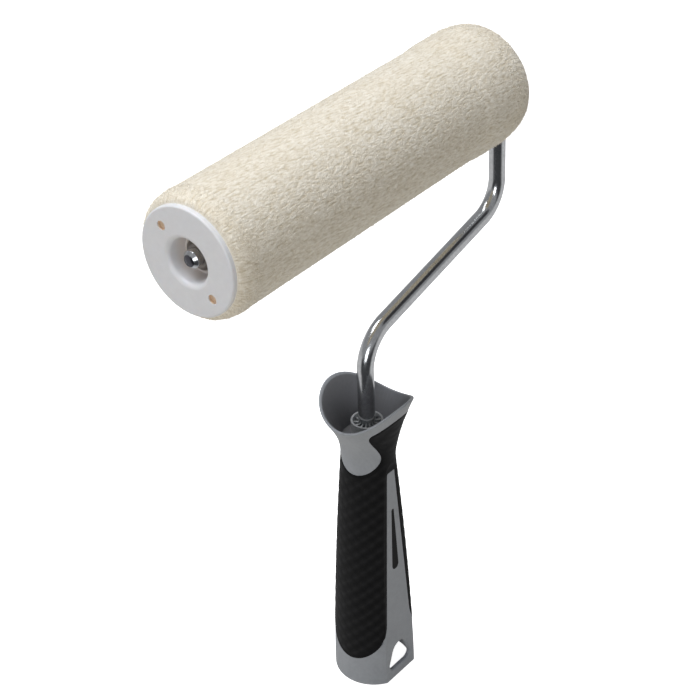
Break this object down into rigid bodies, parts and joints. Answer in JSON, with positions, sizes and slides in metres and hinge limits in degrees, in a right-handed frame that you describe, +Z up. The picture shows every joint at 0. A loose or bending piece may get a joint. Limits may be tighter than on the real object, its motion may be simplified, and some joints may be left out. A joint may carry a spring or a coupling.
{
  "type": "paint roller",
  "caption": "Hand paint roller: plush sleeve spinning on a cranked wire frame, with a soft-grip handle, drip guard, hanging hole and pole socket.",
  "frame": {"origin": "on the handle's axis, in the plane of its butt, under the middle of the whole tool", "axes": "+Z up along the handle to the roller, +X along the roller's axle from its free end to the frame's upright, +Y across both"},
  "size_m": [0.216, 0.0574, 0.3137],
  "materials": {
    "fabric": "short knitted plush pile, cream",
    "core": "plain extruded tube, matt",
    "cap_plastic": "moulded white plastic, satin",
    "bush_plastic": "natural nylon, satin",
    "zinc_wire": "bright zinc plate over drawn wire",
    "washer_steel": "zinc plate, slightly dull",
    "handle_plastic": "moulded grey plastic, fine matt grain",
    "grip_rubber": "soft black rubber with a fine diamond pattern",
    "socket_plastic": "moulded grey plastic, ribbed"
  },
  "bodies": {
    "frame_and_handle": {"frame_rod": "zinc_wire", "free_end_washer": "washer_steel", "push_nut": "washer_steel", "arm_end_washer": "washer_steel", "arm_end_stop": "washer_steel", "handle_body": "handle_plastic", "soft_grip": "grip_rubber", "front_inlay": "grip_rubber", "rear_inlay": "grip_rubber", "rod_socket": "socket_plastic"},
    "roller": {"pile_cover": "fabric", "core_tube": "core", "free_end_cap": "cap_plastic", "arm_end_cap": "cap_plastic", "free_end_bush": "bush_plastic", "arm_end_bush": "bush_plastic"}
  },
  "joints": [
    {"name": "roller_spin", "type": "hinge", "parent": "frame_and_handle", "child": "roller", "pos_m": [0, 0, 0.285], "axis": [1, 0, 0], "continuous": true}
  ]
}
